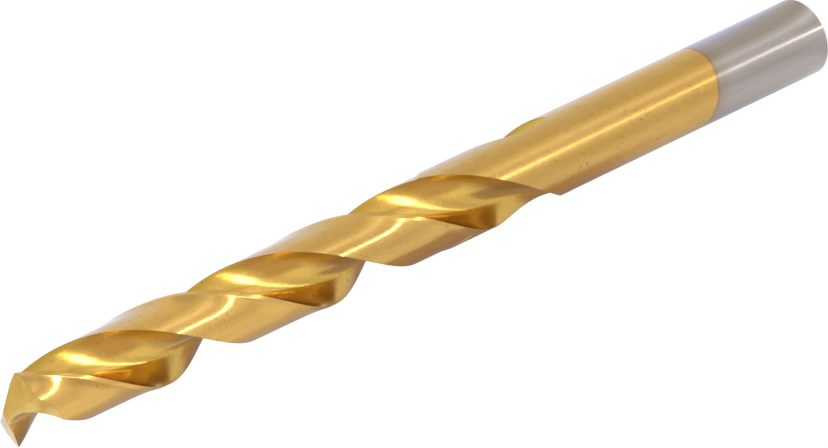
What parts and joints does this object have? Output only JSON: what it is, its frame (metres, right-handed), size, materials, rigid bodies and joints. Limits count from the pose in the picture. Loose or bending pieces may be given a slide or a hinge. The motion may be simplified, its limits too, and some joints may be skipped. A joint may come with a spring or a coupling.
{
  "type": "twist drill bit",
  "caption": "Jobber-length twist drill bit with a straight round shank, spiral flutes, a split point and a gold coating, for drilling holes in metal, wood or plastic.",
  "frame": {"origin": "centre of the shank's flat end, on the drill's axis", "axes": "+Z along the axis from the shank end to the point, so the drill stands on its shank end; +X is where the leading edge of one land would reach the very point"},
  "size_m": [0.01, 0.01, 0.133],
  "materials": {
    "coated_steel": "ground high-speed steel with a satin gold titanium nitride coating; the last part of the shank is bare steel"
  },
  "bodies": {
    "root": {"twist_drill": "coated_steel"}
  },
  "joints": []
}
